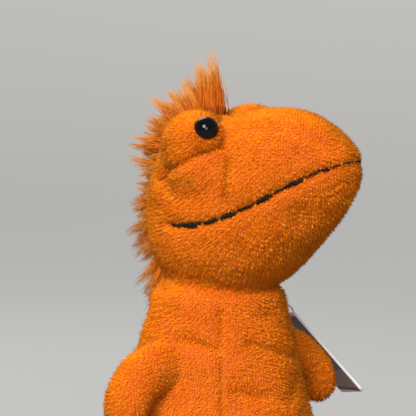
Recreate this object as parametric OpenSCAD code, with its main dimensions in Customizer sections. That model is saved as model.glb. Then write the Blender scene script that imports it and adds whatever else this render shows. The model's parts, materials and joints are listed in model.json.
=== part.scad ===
// Stuffed dinosaur: an upright short-pile plush toy with a long-pile mane, safety eyes,
// a swing tag, and soft joints at the neck, shoulders, hips and tail.
// Millimetres. +Z is up, the chest faces -Y, and the animal's left is +X.

/* [Body] */
// Height of the neck seam, where the torso ends and the neck starts
neck_seam_z = 183; // [182:1:184]
// Half width of the torso at its widest
belly_r = 57.5; // [55:0.5:58]
// Radius of the neck where it enters the head
neck_r = 32; // [31:0.5:32]
// Thickness of the sewn fabric with its pile
skin_t = 3; // [2.5:0.1:3.5]
// Room between the fabric and what it is filled with
fill_gap = 0.3; // [0.2:0.05:0.5]

/* [Head] */
// Turn of the head towards the animal's left at rest, in degrees
head_yaw = 17; // [0:1:20]
// Radius of the round bump that carries each eye
bump_r = 20; // [19:0.5:21]
// Distance of each eye bump from the middle of the head
bump_x = 24; // [22:0.5:25]
// Diameter of the glossy eye
eye_d = 12; // [10:0.5:13]
// Height of the thread of the mouth above the fabric
thread_r = 0.9; // [0.6:0.1:1.2]

/* [Mane] */
// Longest reach of the mane above the skull
mane_len = 30; // [24:1:32]
// Half width of the mane strip where it is sewn in
mane_w = 7; // [5:0.5:8]

/* [Limbs] */
// Height of the shoulder pivots
shoulder_z = 167; // [165:1:167]
// Radius of the arm where it enters the shoulder
arm_r = 14; // [12:0.5:14]
// Forward swing of the left arm at rest, beyond the right one, in degrees
left_arm_lift = 17; // [0:1:20]
// Height of the hip pivots
hip_z = 72; // [70:1:74]
// Distance of the flat inner side of each leg from the middle
leg_in = 25; // [24.5:0.5:26]
// Radius of the tail's round root
tail_r = 23; // [22:0.5:23.5]

/* [Swing tag] */
// Long side of the card
tag_l = 56; // [50:1:58]
// Short side of the card
tag_w = 35; // [30:1:36]
// Thickness of the folded card
tag_t = 1.2; // [0.8:0.1:1.6]

/* [Hidden] */

orange = "#f2801e";
deep_orange = "#d76420";
fill_white = "#f3f1ea";

// The whole model is moved by this so that the origin is under the middle of its box.
shift = [-13.5, -41.1, 0];

clear = 0.4;            // room between parts that move against each other
pivot_z = 190;          // centre of the ball on which the head nods
end_r = 0.6;            // radius of the tiny hole where the seams meet at a closed end
shoulder_in = 29;       // inner end of the shoulder sockets
shoulder_y = -2;        // the shoulders sit just in front of the middle
hip_y = 4;              // the hips sit just behind it
tail_root = [0, 40, 58];
tail_drop = 27;         // slope of the tail at its root, in degrees

// ---------- curves and solids from rings ----------

// A smooth value at t between the rows of a list (Catmull-Rom through the rows)
function row_at(rows, t) =
    let (n = len(rows) - 1, i = min(n - 1, max(0, floor(t))), u = t - i,
         p0 = rows[max(0, i - 1)], p1 = rows[i], p2 = rows[i + 1], p3 = rows[min(n, i + 2)])
    0.5 * (2 * p1 + (p2 - p0) * u + (2 * p0 - 5 * p1 + 4 * p2 - p3) * u * u
           + (3 * p1 - p0 - 3 * p2 + p3) * u * u * u);

// Cosine raised to a power that keeps its sign, for rounded-square sections
function soft(c, power) = sign(c) * pow(abs(c), power);

// Faces with their corners in the other order
function turned(faces, turn) = turn ? [for (f = faces) [f[0], f[2], f[1]]] : faces;

// Middle of a ring of points
function middle(ring) = [for (k = [0:2]) [for (p = ring) p[k]] * [for (p = ring) 1] / len(ring)];

// Closed solid through rings of equally many points, with a fan at each end
module ring_solid(rings) {
    n = len(rings[0]);
    m = len(rings);
    h = floor(m / 2);
    q = floor(n / 4);
    ahead = middle(rings[h]) - middle(rings[h - 1]);
    turn = cross(rings[h][0] - middle(rings[h]), rings[h][q] - middle(rings[h])) * ahead < 0;
    points = concat([for (ring = rings) each ring], [middle(rings[0]), middle(rings[m - 1])]);
    sides = [for (s = [0:m - 2], j = [0:n - 1])
        let (a = s * n + j, b = s * n + (j + 1) % n)
        each [[a, a + n, b + n], [a, b + n, b]]];
    first = [for (j = [0:n - 1]) [m * n, j, (j + 1) % n]];
    last = [for (j = [0:n - 1]) [m * n + 1, (m - 1) * n + (j + 1) % n, (m - 1) * n + j]];
    polyhedron(points, turned(concat(sides, first, last), turn), convexity = 6);
}

// Closed sheet between an outer and an inner grid of points, such as one cut panel of fabric
module panel_solid(outer, inner) {
    n = len(outer[0]);
    m = len(outer);
    q = n * m;
    points = concat([for (r = outer) each r], [for (r = inner) each r]);
    face = [for (s = [0:m - 2], j = [0:n - 2])
        let (a = s * n + j)
        each [[a, a + n, a + n + 1], [a, a + n + 1, a + 1],
              [q + a, q + a + n + 1, q + a + n], [q + a, q + a + 1, q + a + n + 1]]];
    edges = [for (s = [0:m - 2])
        let (a = s * n, b = a + n - 1)
        each [[a, q + a, q + a + n], [a, q + a + n, a + n],
              [b, q + b + n, q + b], [b, b + n, q + b + n]]];
    ends = [for (j = [0:n - 2])
        let (a = j, b = (m - 1) * n + j)
        each [[a, q + a + 1, q + a], [a, a + 1, q + a + 1],
              [b, q + b, q + b + 1], [b, q + b + 1, b + 1]]];
    h = floor(m / 2);
    out = cross(outer[h][1] - outer[h][0], outer[h + 1][0] - outer[h][0]);
    turn = out * (outer[h][0] - inner[h][0]) < 0;
    polyhedron(points, turned(concat(face, edges, ends), turn), convexity = 6);
}

// Cuts are made on the sewn mesh, which keeps a cut panel one closed sheet
module cut() {
    resize([0, 0, 0]) difference() {
        children(0);
        children([1:$children - 1]);
    }
}

// ---------- head ----------

// Forward position, crown height, mouth height, chin height and half width of the head
head_rows = [
    [-33, 240.5, 240, 239.5, end_r],
    [-31.5, 257, 240, 225, 14],
    [-27.5, 272, 239, 213.5, 23.5],
    [-19, 284, 238, 205.5, 33],
    [-5, 290.5, 238, 201, 39],
    [10, 292, 240, 200, 41],
    [26, 294, 244.5, 201, 39],
    [42, 294.5, 251.5, 210, 34],
    [56, 291, 259, 223, 28.5],
    [67, 285.5, 264.5, 236, 22.5],
    [75, 280, 268, 247.5, 16],
    [79.5, 275, 269, 256, 9],
    [81, 267.5, 267, 266.5, end_r]
];
head_sides = 28;
head_steps = 21;
crown_side = 5;         // sides of the section from the mouth seam up to the crown seam
bump_at = [4, 274];     // forward position and height of the eye bumps
eye_dir = [0.62, -0.56, 0.55] / norm([0.62, -0.56, 0.55]);  // outwards, forwards, up

function head_row(t) = row_at(head_rows, t);

// Reach of an eye bump along a ray from the middle of a section, or 0 where it misses
function bump_reach(f, zc, c, s, r) =
    let (slice = r * r - pow(f - bump_at[0], 2), v = bump_at[1] - zc,
         along = abs(c) * bump_x + s * v,
         room = along * along - bump_x * bump_x - v * v + slice)
    slice > 0 && room > 0 ? along + sqrt(room) : 0;

// Point on the head at row t and angle a, moved in by an inset
function head_point(t, a, inset) =
    let (row = head_row(t), mid = 24, f = mid + (row[0] - mid) * (57 - inset) / 57,
         w = max(end_r, row[4] - inset), zc = row[2],
         h = max(end_r, (sin(a) >= 0 ? row[1] - zc : zc - row[3]) - inset),
         x = w * soft(cos(a), 0.92), z = h * soft(sin(a), 0.92),
         d = norm([x, z]), c = x / d, s = z / d,
         b = bump_reach(f, zc, c, s, bump_r - inset),
         k = b > 0 ? pow(pow(d, 14) + pow(b, 14), 1 / 14) : d)
    [c * k, -f, zc + s * k];

function head_grid(j0, j1, inset) = [for (i = [0:head_steps - 1])
    [for (j = [j0:j1]) head_point(i * 12 / (head_steps - 1), j * 360 / head_sides, inset)]];

// Everything sewn to the head, turned to its place
module on_head() {
    translate(shift) rotate([0, 0, head_yaw]) children();
}

module head_panel(j0, j1) {
    panel_solid(head_grid(j0, j1, 0), head_grid(j0, j1, skin_t));
}

// Room for the ball at the top of the neck
module neck_socket() {
    translate([0, 0, pivot_z]) sphere(r = neck_r + 0.7, $fn = 48);
}

// Moves its children to an eye, with +Z pointing out of the head; side is 1 or -1
module at_eye(side) {
    translate([side * bump_x, -bump_at[0], bump_at[1]])
        rotate([0, acos(eye_dir[2]), atan2(eye_dir[1], side * eye_dir[0])])
            translate([0, 0, bump_r]) children();
}

module head_side(side) {
    color(orange) on_head() cut() {
        if (side > 0)
            head_panel(0, crown_side);
        else
            head_panel(head_sides / 2 - crown_side, head_sides / 2);
        at_eye(side) translate([0, 0, -shank_l - 1]) cylinder(r = shank_r + 0.1, h = 18, $fn = 32);
    }
}

module head_side_left() { head_side(1); }
module head_side_right() { head_side(-1); }

module head_crown() {
    color(orange) on_head() head_panel(crown_side, head_sides / 2 - crown_side);
}

module jaw_panel() {
    color(orange) on_head() cut() {
        head_panel(head_sides / 2, head_sides);
        neck_socket();
    }
}

module head_filling() {
    color(fill_white) on_head() cut() {
        ring_solid([for (r = head_grid(0, head_sides - 1, skin_t + fill_gap)) r]);
        neck_socket();
        for (side = [1, -1])
            at_eye(side) translate([0, 0, -12]) cylinder(r = washer_r + 0.4, h = 12, $fn = 32);
    }
}

// ---------- eyes ----------

eye_h = 4.6;            // height of the dome above the fabric
shank_r = 1.9;
shank_l = 9;            // length of the shank behind the dome
washer_r = 7;
washer_in = 8.3;        // depth of the washer's inner face below the fabric
seat = 0.35;            // lift of the dome's flat back above the fabric

// Dome with its shank: the back of the dome is flat against the fabric
module eye(side) {
    dome_r = (eye_d * eye_d / 4 + eye_h * eye_h) / (2 * eye_h);
    color("black") on_head() at_eye(side) translate([0, 0, seat]) {
        intersection() {
            translate([0, 0, eye_h - dome_r]) sphere(r = dome_r, $fn = 64);
            cylinder(r = eye_d, h = eye_d, $fn = 64);
        }
        translate([0, 0, -shank_l]) cylinder(r = shank_r, h = shank_l + 0.2, $fn = 32);
    }
}

module eye_left() { eye(1); }
module eye_right() { eye(-1); }

// Lock washer pressed on the shank behind the fabric
module eye_washer(side) {
    color("whitesmoke") on_head() at_eye(side) translate([0, 0, -washer_in]) difference() {
        cylinder(r = washer_r, h = 1.4, $fn = 48);
        translate([0, 0, -1]) cylinder(r = shank_r, h = 4, $fn = 32);
    }
}

module eye_washer_left() { eye_washer(1); }
module eye_washer_right() { eye_washer(-1); }

// ---------- mouth ----------

// Thread along the mouth seam, from one corner round the nose to the other
module mouth_stitching() {
    half = [for (i = [0:22]) 4.2 + (11.75 - 4.2) * i / 22];
    out = function(t, a) head_point(t, a, -thread_r - 0.15);
    path = concat([for (t = half) out(t, 180)], [for (i = [21:-1:0]) out(half[i], 0)]);
    color("black") on_head()
        ring_solid([for (i = [0:len(path) - 1])
            let (a = path[max(0, i - 1)], b = path[min(len(path) - 1, i + 1)],
                 d = b - a, side = [d[1], -d[0], 0] / norm([d[0], d[1]]))
            [for (k = [0:5]) path[i] + thread_r * (side * cos(60 * k) + [0, 0, sin(60 * k)])]]);
}

// ---------- mane ----------

// Root of the mane on the middle line of the head: over the crown, then down the back
function mane_root(u) = let (row = head_row(abs(u))) [row[0], u >= 0 ? row[1] : row[3]];

// A fin of long pile through root and tip points (forward, height), thinner at the tips
module mane_fin(roots, tips) {
    ring_solid([for (i = [0:len(roots) - 1])
        [[-mane_w, -roots[i][0], roots[i][1]], [mane_w, -roots[i][0], roots[i][1]],
         [mane_w / 2, -tips[i][0], tips[i][1]], [-mane_w / 2, -tips[i][0], tips[i][1]]]]);
}

module head_mane() {
    at = [for (i = [0:14]) 4.85 - i * 0.47];
    lift = 0.45;
    out = function(u) let (d = mane_root(u + 0.05) - mane_root(u - 0.05)) [-d[1], d[0]] / norm(d);
    roots = [for (u = at) mane_root(u) + out(u) * lift];
    reach = function(u) u > 4.6 ? 0.4 : u > 4 ? 1 : 0.62 + 0.09 * u;
    tips = [for (u = at) mane_root(u) + out(u) * mane_len * reach(u) * (u < -1 ? 0.9 : 1)];
    color(deep_orange) on_head() mane_fin(roots, tips);
}

module neck_mane() {
    color(deep_orange) on_head()
        mane_fin([[-38.5, 184], [-34.5, 189], [-33.2, 194], [-32.4, 198]],
                 [[-49, 184], [-48.5, 190], [-47, 196], [-45, 200]]);
}

module back_mane() {
    at = [for (i = [0:9]) 8.9 - i * 0.5];
    reach = function(t) 4 + 8.5 * sin(90 * min(1, (t - 4) / 3));
    color(deep_orange) translate(shift)
        mane_fin([for (t = at) [-torso_point(t, 90, -0.45)[1], torso_point(t, 90, 0)[2]]],
                 [for (t = at) [-torso_point(t, 90, -reach(t))[1], torso_point(t, 90, 0)[2]]]);
}

// ---------- neck ----------

// Outline of the neck: it narrows to a ball that sits in the head
function neck_outline(inset, top) = concat(
    [[38.2 - inset, neck_seam_z + clear], [35.2 - inset, neck_seam_z + 3],
     [32.9 - inset, neck_seam_z + 6]],
    [for (a = [0:6:top]) [(neck_r - inset) * cos(a), pivot_z + (neck_r - inset) * sin(a)]]);

module neck_skin() {
    inner = neck_outline(skin_t, 24);
    color(orange) translate(shift) rotate_extrude($fn = 72)
        polygon(concat(neck_outline(0, 24), [for (i = [len(inner) - 1:-1:0]) inner[i]]));
}

module neck_filling() {
    color(fill_white) translate(shift) rotate_extrude($fn = 72)
        polygon(concat([[0, neck_seam_z + clear]], neck_outline(skin_t + fill_gap, 78),
                       [[0, pivot_z + (neck_r - skin_t - fill_gap) * sin(78)]]));
}

// ---------- torso ----------

// Height, backward position, half width and half depth of the torso
torso_rows = [
    [34, 8, end_r, end_r],
    [36.5, 8, 20, 18],
    [45, 7, 36, 33],
    [61, 5, 49, 46],
    [82, 3, belly_r - 1.5, 54],
    [104, 1, belly_r, 56],
    [126, 0, belly_r - 3.5, 52.5],
    [148, 0, 48, 47],
    [164, 0, 43.6, 43],
    [neck_seam_z, 0, 38.4, 38.2]
];
torso_sides = 36;
torso_steps = 17;
belly_side = 14;        // sides of the section from the back seam round to the belly seam

function torso_point(t, a, inset) =
    let (row = row_at(torso_rows, t), low = inset * (1 - t / 9))
    [max(end_r, row[2] - inset) * cos(a), row[1] + max(end_r, row[3] - inset) * sin(a),
     row[0] + low];

function torso_grid(j0, j1, inset) = [for (i = [0:torso_steps - 1])
    [for (j = [j0:j1]) torso_point(9 * (1 - i / (torso_steps - 1)), 90 + j * 360 / torso_sides,
                                   inset)]];

// Sockets for the two arms, the two legs and the tail
arm_socket_r = arm_r + 1.7;
hip_socket_r = 35.6;
hip_floor_r = 27;

module limb_sockets() {
    for (side = [-1, 1]) {
        translate([0, shoulder_y, shoulder_z]) rotate([0, side * 90, 0])
            translate([0, 0, shoulder_in]) cylinder(r = arm_socket_r, h = 40, $fn = 40);
        translate([0, hip_y, hip_z]) rotate([0, side * 90, 0]) translate([0, 0, leg_in - clear]) {
            cylinder(r1 = hip_floor_r, r2 = hip_socket_r, h = 11, $fn = 40);
            translate([0, 0, 10.9]) cylinder(r = hip_socket_r, h = 50, $fn = 40);
        }
        translate([side > 0 ? leg_in - clear : -leg_in + clear - 60, -70, 0])
            cube([60, 140, hip_z]);
    }
    translate(tail_root) sphere(r = tail_r + clear + 0.2, $fn = 36);
    translate(tail_root) rotate([-90 - tail_drop, 0, 0])
        translate([0, 0, 6]) cylinder(r1 = tail_r - 2, r2 = tail_r + 22, h = 44, $fn = 40);
}

module torso_panel(j0, j1) {
    color(orange) translate(shift) cut() {
        panel_solid(torso_grid(j0, j1, 0), torso_grid(j0, j1, skin_t));
        limb_sockets();
    }
}

module torso_side_right() { torso_panel(0, belly_side); }
module torso_side_left() { torso_panel(torso_sides - belly_side, torso_sides); }
module belly_panel() { torso_panel(belly_side, torso_sides - belly_side); }

module torso_filling() {
    color(fill_white) translate(shift) cut() {
        ring_solid(torso_grid(0, torso_sides - 1, skin_t + fill_gap));
        limb_sockets();
        translate(bean_at) scale([1, 1, bean_flat]) sphere(r = bean_r + 0.4, $fn = 32);
        translate([bean_at[0], bean_at[1], 30]) cylinder(r = 5, h = bean_at[2] - 30, $fn = 24);
    }
}

// Bag of plastic pellets that weighs down the bottom of the torso
bean_r = 18;
bean_at = [0, -6, 60];
bean_flat = 0.75;

module bean_bag() {
    color("tan") translate(shift) translate(bean_at) scale([1, 1, bean_flat])
        sphere(r = bean_r, $fn = 48);
}

// Hand-sewn stitches that close the gap in the left belly seam, where the filling went in
module closing_stitches() {
    seam = 310;
    color("darkorange") translate(shift) for (i = [0:5])
        translate(torso_point(5.4 + i * 0.17, seam, -0.7)) rotate([90, 0, seam + 90])
            rotate([0, 90, 0]) translate([0, 0, -2.5]) cylinder(r = 0.5, h = 5, $fn = 16);
}

// Folded satin label sewn in beside the tail, on the animal's left, and left blank
module care_label() {
    color("white") translate(shift) translate(torso_point(4.35, 60, -1.2)) rotate([-5, 0, -30])
        translate([-8, 0, 0]) cube([16, 0.5, 24]);
}

// ---------- arms ----------

// Outward position, height above the shoulder pivot, half thickness and half width of the arm
arm_rows = [
    [30, 0, arm_r, arm_r],
    [38, 0, arm_r, arm_r],
    [47.5, -1.5, arm_r, arm_r],
    [56, -6.5, 12.2, arm_r],
    [61, -14.5, 11, arm_r],
    [62.2, -22, 9.7, 12.6],
    [62.4, -27.5, 6.5, 8.6],
    [62.4, -30.4, end_r, end_r]
];
arm_turns = [90, 90, 72, 42, 12, 0, 0, 0];   // slope of each section
arm_sides = 20;
arm_steps = 12;

function arm_ring(t, inset) =
    let (last = len(arm_rows) - 1, row = row_at(arm_rows, t),
         i = min(last - 1, floor(t)), turn = arm_turns[i] + (arm_turns[i + 1] - arm_turns[i]) * (t - i),
         u = max(end_r, row[2] - inset), v = max(end_r, row[3] - inset),
         lift = t > last - 1.01 ? inset * (t - last + 1.01) : 0)
    [for (j = [0:arm_sides - 1])
        let (a = j * 360 / arm_sides, c = u * cos(a))
        [row[0] + c * cos(turn), shoulder_y + v * sin(a),
         shoulder_z + row[1] + lift + c * sin(turn)]];

function arm_rings(inset) = [for (i = [0:arm_steps - 1])
    arm_ring(i * (len(arm_rows) - 1) / (arm_steps - 1), inset)];

// Mirrors for the right side and gives the left arm its lift
module on_shoulder(side) {
    lift = side > 0 ? left_arm_lift : 0;
    translate(shift) translate([0, shoulder_y, shoulder_z]) rotate([-lift, 0, 0])
        translate([0, -shoulder_y, -shoulder_z])
            mirror([side > 0 ? 0 : 1, 0, 0]) children();
}

module arm_skin(side) {
    color(orange) on_shoulder(side) cut() {
        ring_solid(arm_rings(0));
        union() {
            ring_solid(arm_rings(skin_t));
            translate([24, shoulder_y, shoulder_z]) rotate([0, 90, 0])
                cylinder(r = arm_r - skin_t, h = 8, $fn = 40);
        }
    }
}

module arm_skin_left() { arm_skin(1); }
module arm_skin_right() { arm_skin(-1); }

module arm_filling(side) {
    color(fill_white) on_shoulder(side) ring_solid(arm_rings(skin_t + fill_gap));
}

module arm_filling_left() { arm_filling(1); }
module arm_filling_right() { arm_filling(-1); }

// ---------- legs ----------

// Height, backward position, half width and half depth of the leg
leg_mid = 45;
sole_t = 2.6;
leg_rows = [
    [sole_t, -13, 21, 38],
    [12, -13, 22.5, 40],
    [22, -9, 22, 36],
    [31, 1, 20.5, 28],
    [43, 4.5, 20.5, 27],
    [58, 5, 21.5, 31],
    [74, 4.5, 21.5, 33],
    [90, 4, 19, 28],
    [101, 4, 13, 18],
    [105, 4, end_r, end_r]
];
leg_sides = 24;
leg_steps = 16;

function leg_ring(t, inset) =
    let (row = row_at(leg_rows, t), u = max(end_r, row[2] - inset), v = max(end_r, row[3] - inset),
         high = t > 8 ? inset * (t - 8) : 0)
    [for (j = [0:leg_sides - 1])
        let (a = j * 360 / leg_sides)
        [max(leg_in + inset, leg_mid + u * soft(cos(a), 0.9)), row[1] + v * soft(sin(a), 0.9),
         row[0] - high]];

function leg_rings(inset) = [for (i = [0:leg_steps - 1])
    leg_ring((len(leg_rows) - 1) * i / (leg_steps - 1), inset)];

module on_hip(side) {
    translate(shift) mirror([side > 0 ? 0 : 1, 0, 0]) children();
}

module leg_skin(side) {
    color(orange) on_hip(side) cut() {
        ring_solid(leg_rings(0));
        ring_solid(concat([[for (p = leg_ring(0, skin_t)) p - [0, 0, 1]]], leg_rings(skin_t)));
    }
}

module leg_skin_left() { leg_skin(1); }
module leg_skin_right() { leg_skin(-1); }

module leg_filling(side) {
    color(fill_white) on_hip(side) ring_solid(leg_rings(skin_t + fill_gap));
}

module leg_filling_left() { leg_filling(1); }
module leg_filling_right() { leg_filling(-1); }

// Flat sole sewn under the foot
module foot_sole(side) {
    color(deep_orange) on_hip(side) linear_extrude(height = sole_t - 0.1)
        polygon([for (p = leg_ring(0, 0)) [p[0], p[1]]]);
}

module foot_sole_left() { foot_sole(1); }
module foot_sole_right() { foot_sole(-1); }

// ---------- tail ----------

// Backward position, height and radius of the tail behind its round root
tail_rows = [
    [40, 58, 21.2],
    [58, 49, 20.4],
    [80, 37.5, 19.4],
    [104, 26, 17],
    [128, 16.5, 13.4],
    [148, 11.5, 9.8],
    [159, 9.5, 6],
    [163, 9, end_r]
];
tail_sides = 22;

// Sections lean with the tail; the root is closed by half a ball of the same radius
function tail_ring(back, height, r, lean) = [for (j = [0:tail_sides - 1])
    let (a = j * 360 / tail_sides)
    [r * cos(a), back + r * sin(a) * sin(lean), height + r * sin(a) * cos(lean)]];

function tail_rings(inset) = concat(
    [for (a = [-84:14:-14])
        let (r = tail_rows[0][2] - inset, s = r * sin(a))
        tail_ring(tail_root[1] + s * cos(tail_drop), tail_root[2] - s * sin(tail_drop),
                  r * cos(a), tail_drop)],
    [for (i = [0:13])
        let (t = i * (len(tail_rows) - 1) / 13, row = row_at(tail_rows, t),
             end = t > 6 ? inset * (t - 6) : 0)
        tail_ring(row[0] - end, row[1], max(end_r, row[2] - inset), tail_drop * (1 - t / 9))]);

module tail_skin() {
    color(orange) translate(shift) cut() {
        ring_solid(tail_rings(0));
        ring_solid(tail_rings(skin_t));
        translate(tail_root) rotate([-90 - tail_drop, 0, 0])
            translate([0, 0, -tail_r - 5]) cylinder(r = 8, h = 12, $fn = 32);
    }
}

module tail_filling() {
    color(fill_white) translate(shift) ring_solid(tail_rings(skin_t + fill_gap));
}

// ---------- swing tag ----------

tag_top = [53.4, 0.7, 185.2];         // near top corner of the card
tag_along = [0.533, -0.386, -0.754];// down the long side
tag_across = [0.4545, 0.873, -0.179];
tag_hole = 2.2;                     // radius of the punched hole
loop_r = 0.5;                       // the nylon of the loop
loop_flat = [0.36, -0.66, -0.66];   // across the plane in which the loop lies

// Route of the loop: out of the shoulder, over the card, down its hole and back under it
loop_route = [
    [46.6, 0.2, 181.2], [48.5, 2.5, 184.5], [53.5, 6.5, 187.8], [60, 10.2, 187.5],
    [65.5, 12.5, 183.2], [66.3, 13.1, 179.4], [64.6, 13.7, 177.7], [62.6, 14.5, 175.8],
    [58.5, 13.6, 175.2], [53, 9.5, 177.5], [48.8, 4.6, 180.2], [47.4, 2.6, 180.9]
];

// Turns its children so that +X runs down the card, +Y across it and +Z out of its face
module on_tag() {
    n = cross(tag_along, tag_across);
    translate(shift) multmatrix([
        [tag_along[0], tag_across[0], n[0], tag_top[0]],
        [tag_along[1], tag_across[1], n[1], tag_top[1]],
        [tag_along[2], tag_across[2], n[2], tag_top[2]],
        [0, 0, 0, 1]]) children();
}

module hang_tag() {
    corner = 2.5;
    color("silver") on_tag() linear_extrude(height = tag_t) difference() {
        hull() for (x = [corner, tag_l - corner], y = [corner, tag_w - corner])
            translate([x, y]) circle(r = corner, $fn = 32);
        translate([6, tag_w / 2]) circle(r = tag_hole, $fn = 32);
    }
}

module tag_fastener() {
    steps = 44;
    path = [for (i = [0:steps]) row_at(loop_route, i * (len(loop_route) - 1) / steps)];
    color("white") translate(shift) ring_solid([for (i = [0:steps])
        let (d0 = path[min(steps, i + 1)] - path[max(0, i - 1)], d = d0 / norm(d0),
             side0 = loop_flat - (loop_flat * d) * d, side = side0 / norm(side0),
             up = cross(d, side))
        [for (k = [0:5]) path[i] + loop_r * (side * cos(60 * k) + up * sin(60 * k))]]);
}

// ---------- what is drawn ----------

head_side_left();
head_side_right();
head_crown();
jaw_panel();
head_filling();
eye_left();
eye_right();
eye_washer_left();
eye_washer_right();
mouth_stitching();
head_mane();
neck_skin();
neck_filling();
neck_mane();
torso_side_left();
torso_side_right();
belly_panel();
torso_filling();
bean_bag();
back_mane();
closing_stitches();
care_label();
arm_skin_left();
arm_skin_right();
arm_filling_left();
arm_filling_right();
leg_skin_left();
leg_skin_right();
leg_filling_left();
leg_filling_right();
foot_sole_left();
foot_sole_right();
tail_skin();
tail_filling();
tag_fastener();
hang_tag();
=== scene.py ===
# %% [markdown]
# # A stuffed dinosaur, dressed in Blender
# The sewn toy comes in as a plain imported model: every cut panel, filling, eye and joint is
# already in its place. What is missing is everything soft. This lesson swells the panels into
# stuffed forms, sinks the seams, grows the short plush and the long mane, stitches the mouth,
# and gives each finish its own material.
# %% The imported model
import json
import math

import bpy
import numpy as np
from mathutils import Matrix, Vector
from mathutils.bvhtree import BVHTree


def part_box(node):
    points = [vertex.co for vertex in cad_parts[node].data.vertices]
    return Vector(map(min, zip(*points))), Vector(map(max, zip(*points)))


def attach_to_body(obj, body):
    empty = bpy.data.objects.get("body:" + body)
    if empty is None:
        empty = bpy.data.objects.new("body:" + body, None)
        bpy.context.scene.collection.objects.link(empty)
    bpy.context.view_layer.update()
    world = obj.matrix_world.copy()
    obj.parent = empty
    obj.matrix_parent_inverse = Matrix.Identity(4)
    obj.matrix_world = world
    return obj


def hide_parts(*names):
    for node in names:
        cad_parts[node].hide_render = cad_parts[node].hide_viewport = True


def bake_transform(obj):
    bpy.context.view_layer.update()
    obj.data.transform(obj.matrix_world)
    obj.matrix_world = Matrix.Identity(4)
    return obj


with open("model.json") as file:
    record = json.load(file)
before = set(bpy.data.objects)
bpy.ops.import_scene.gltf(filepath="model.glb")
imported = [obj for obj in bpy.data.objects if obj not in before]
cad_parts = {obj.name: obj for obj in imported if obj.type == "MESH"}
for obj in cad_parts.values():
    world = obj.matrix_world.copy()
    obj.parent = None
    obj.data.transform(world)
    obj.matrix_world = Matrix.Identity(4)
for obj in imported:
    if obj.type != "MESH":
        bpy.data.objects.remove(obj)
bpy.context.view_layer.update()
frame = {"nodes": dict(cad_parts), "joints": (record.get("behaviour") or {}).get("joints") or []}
MM = 0.001
scene = bpy.context.scene
nodes = frame["nodes"]
joints = {joint["name"]: joint for joint in frame["joints"]}

# %% [markdown]
# ## Where things are
# Middle lines and joints come from the imported model, and seams are placed one by one, as a sewer
# would chalk them on the cloth. The toy stands round an upright line through its neck.
# The head is turned, so it has its own directions: forward along the snout, sideways to the
# animal's left, and up. A point on the head is given in millimetres along those three.
# %% Middle line and head directions
UP = Vector((0, 0, 1))
AXIS = Vector((joints["head_turn"]["pos_m"][0], joints["head_turn"]["pos_m"][1], 0))
HEAD_LEFT = -Vector(joints["head_nod"]["axis"]).normalized()
HEAD_FRONT = UP.cross(HEAD_LEFT).normalized() * -1


def head_point(forward, left, height):
    """A point given along the head's own directions, in millimetres."""
    return AXIS + MM * (forward * HEAD_FRONT + left * HEAD_LEFT + height * UP)


print("head looks along", [round(c, 3) for c in HEAD_FRONT])

# %% [markdown]
# ## Camera
# The camera looks a little downwards at the toy's right front, with a long lens that takes in the
# head and the chest. From a metre away the snout isn't blown up, as it would be close by. The
# lens follows from the width that the picture takes in at that distance.
# %% Camera
CAMERA_AZIMUTH = math.radians(-42)
CAMERA_RISE = math.radians(5)
CAMERA_DISTANCE = 1.0
CAMERA_FRAME = 0.208        # width of the picture at the toy
CAMERA_HEIGHT = 0.2432      # height that it looks at
CAMERA_ASIDE = 0.005        # and how far beside the middle line
SENSOR = 36


def add_camera():
    to_camera = Vector((math.sin(CAMERA_AZIMUTH) * math.cos(CAMERA_RISE),
                        -math.cos(CAMERA_AZIMUTH) * math.cos(CAMERA_RISE),
                        math.sin(CAMERA_RISE)))
    right = Vector((math.cos(CAMERA_AZIMUTH), math.sin(CAMERA_AZIMUTH), 0))
    target = AXIS + CAMERA_HEIGHT * UP - CAMERA_ASIDE * right
    bpy.ops.object.camera_add(location=target + to_camera * CAMERA_DISTANCE)
    camera = bpy.context.object
    camera.rotation_mode = "QUATERNION"
    camera.rotation_quaternion = (-to_camera).to_track_quat("-Z", "Y")
    camera.data.sensor_width = SENSOR
    camera.data.lens = SENSOR * CAMERA_DISTANCE / CAMERA_FRAME
    camera.data.clip_start = 0.01
    scene.camera = camera
    scene.view_settings.view_transform = "Standard"
    return camera


camera = add_camera()
print("lens", round(camera.data.lens, 1), "mm")

# %% [markdown]
# ## Helpers
# A few steps come again and again: select one object, copy packed panels into one new mesh, make
# an even skin of it, apply a modifier, and read or write all its points at once. Points are
# handled as arrays, because a loop over a hundred thousand of them would be slow.
# %% Small helpers
def select_only(*objects):
    bpy.ops.object.select_all(action="DESELECT")
    for obj in objects:
        obj.select_set(True)
    bpy.context.view_layer.objects.active = objects[0]


def merged_copy(name, *node_names):
    """One new mesh from copies of CAD nodes, with their loose triangles merged."""
    copies = []
    for node in node_names:
        copy = nodes[node].copy()
        copy.data = nodes[node].data.copy()
        copy.parent = None
        copy.matrix_world = Matrix.Identity(4)
        for key in list(copy.keys()):
            del copy[key]
        scene.collection.objects.link(copy)
        copies.append(copy)
    select_only(*copies)
    if len(copies) > 1:
        bpy.ops.object.join()
    merged = bpy.context.object
    merged.name = name
    merged.data.name = name
    merged.data.materials.clear()
    bpy.ops.object.mode_set(mode="EDIT")
    bpy.ops.mesh.select_all(action="SELECT")
    bpy.ops.mesh.remove_doubles(threshold=0.00001)
    bpy.ops.object.mode_set(mode="OBJECT")
    return merged


def add_modifier(obj, kind, **settings):
    """Adds a modifier, sets it and applies it."""
    modifier = obj.modifiers.new(kind.title(), kind)
    for key, value in settings.items():
        setattr(modifier, key, value)
    select_only(obj)
    bpy.ops.object.modifier_apply(modifier=modifier.name)


def voxel_remesh(obj, size):
    """Fuses a mesh's overlapping shells into one skin of even quads."""
    select_only(obj)
    obj.data.remesh_voxel_size = size
    bpy.ops.object.voxel_remesh()
    add_modifier(obj, "SMOOTH", factor=0.5, iterations=4)


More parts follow.
